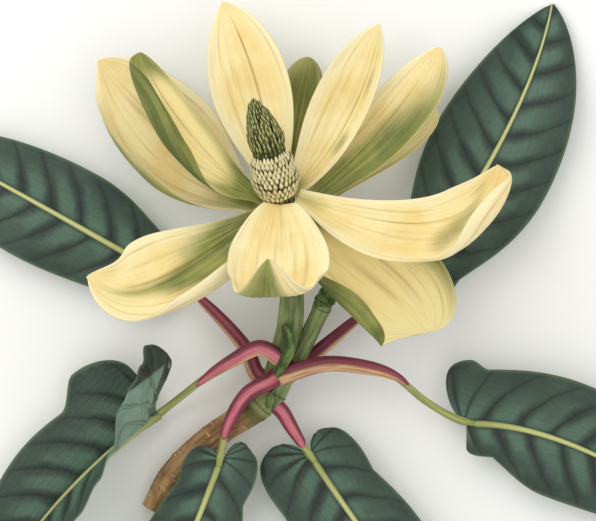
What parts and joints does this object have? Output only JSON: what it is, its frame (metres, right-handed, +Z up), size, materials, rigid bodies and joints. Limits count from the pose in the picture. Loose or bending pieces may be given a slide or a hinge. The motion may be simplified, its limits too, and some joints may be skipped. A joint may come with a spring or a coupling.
{
  "type": "cut flowering magnolia branch",
  "caption": "Cut flowering tip of an ear-leaved magnolia: one open cream-yellow bloom, eared leaves on crimson-sheathed stalks and a woody stem, lying on its back.",
  "frame": {"origin": "centre of the bounding box's base, on the surface the branch lies on", "axes": "+Z up, away from the surface; +Y along the branch from its cut end towards its flowering tip; +X to the right, seen from above"},
  "size_m": [0.414, 0.3574, 0.1227],
  "materials": {
    "tepal": "soft satin cream-yellow petal skin with fine lengthwise veins",
    "stamen": "matt cream anthers",
    "carpel": "matt dark green scales with pale styles",
    "bark": "rough matt bark with pale lenticels",
    "green_stem": "satin green stem with darker stripes",
    "bud_scale": "soft green scale with fine hairs",
    "sheath": "satin crimson above, pink and tan below",
    "leaf_stalk": "satin yellow-green stalk",
    "leaf": "satin dark blue-green leaf with sunken side veins and a yellow-green midrib"
  },
  "bodies": {
    "root": {"tepal_back": "tepal", "tepal_back_narrow": "tepal", "tepal_upper_right": "tepal", "tepal_right_upper": "tepal", "tepal_right_low": "tepal", "tepal_right_large": "tepal", "tepal_lower_right": "tepal", "tepal_front": "tepal", "tepal_lower_left": "tepal", "tepal_upper_left": "tepal", "tepal_far_left": "tepal", "stamens": "stamen", "carpel_cone": "carpel", "woody_stem": "bark", "flower_stalk": "green_stem", "side_shoot": "green_stem", "side_bud": "bud_scale", "axillary_bud": "bud_scale", "stipule_scale": "bud_scale", "sheath_upper_left": "sheath", "leaf_stalk_upper_left": "leaf_stalk", "leaf_upper_left": "leaf", "sheath_upper_right": "sheath", "leaf_stalk_upper_right": "leaf_stalk", "leaf_upper_right": "leaf", "sheath_left": "sheath", "leaf_stalk_left": "leaf_stalk", "leaf_left": "leaf", "sheath_right": "sheath", "leaf_stalk_right": "leaf_stalk", "leaf_right": "leaf", "sheath_bottom_left": "sheath", "leaf_stalk_bottom_left": "leaf_stalk", "leaf_bottom_left": "leaf", "sheath_bottom_middle": "sheath", "leaf_stalk_bottom_middle": "leaf_stalk", "leaf_bottom_middle": "leaf"}
  },
  "joints": []
}
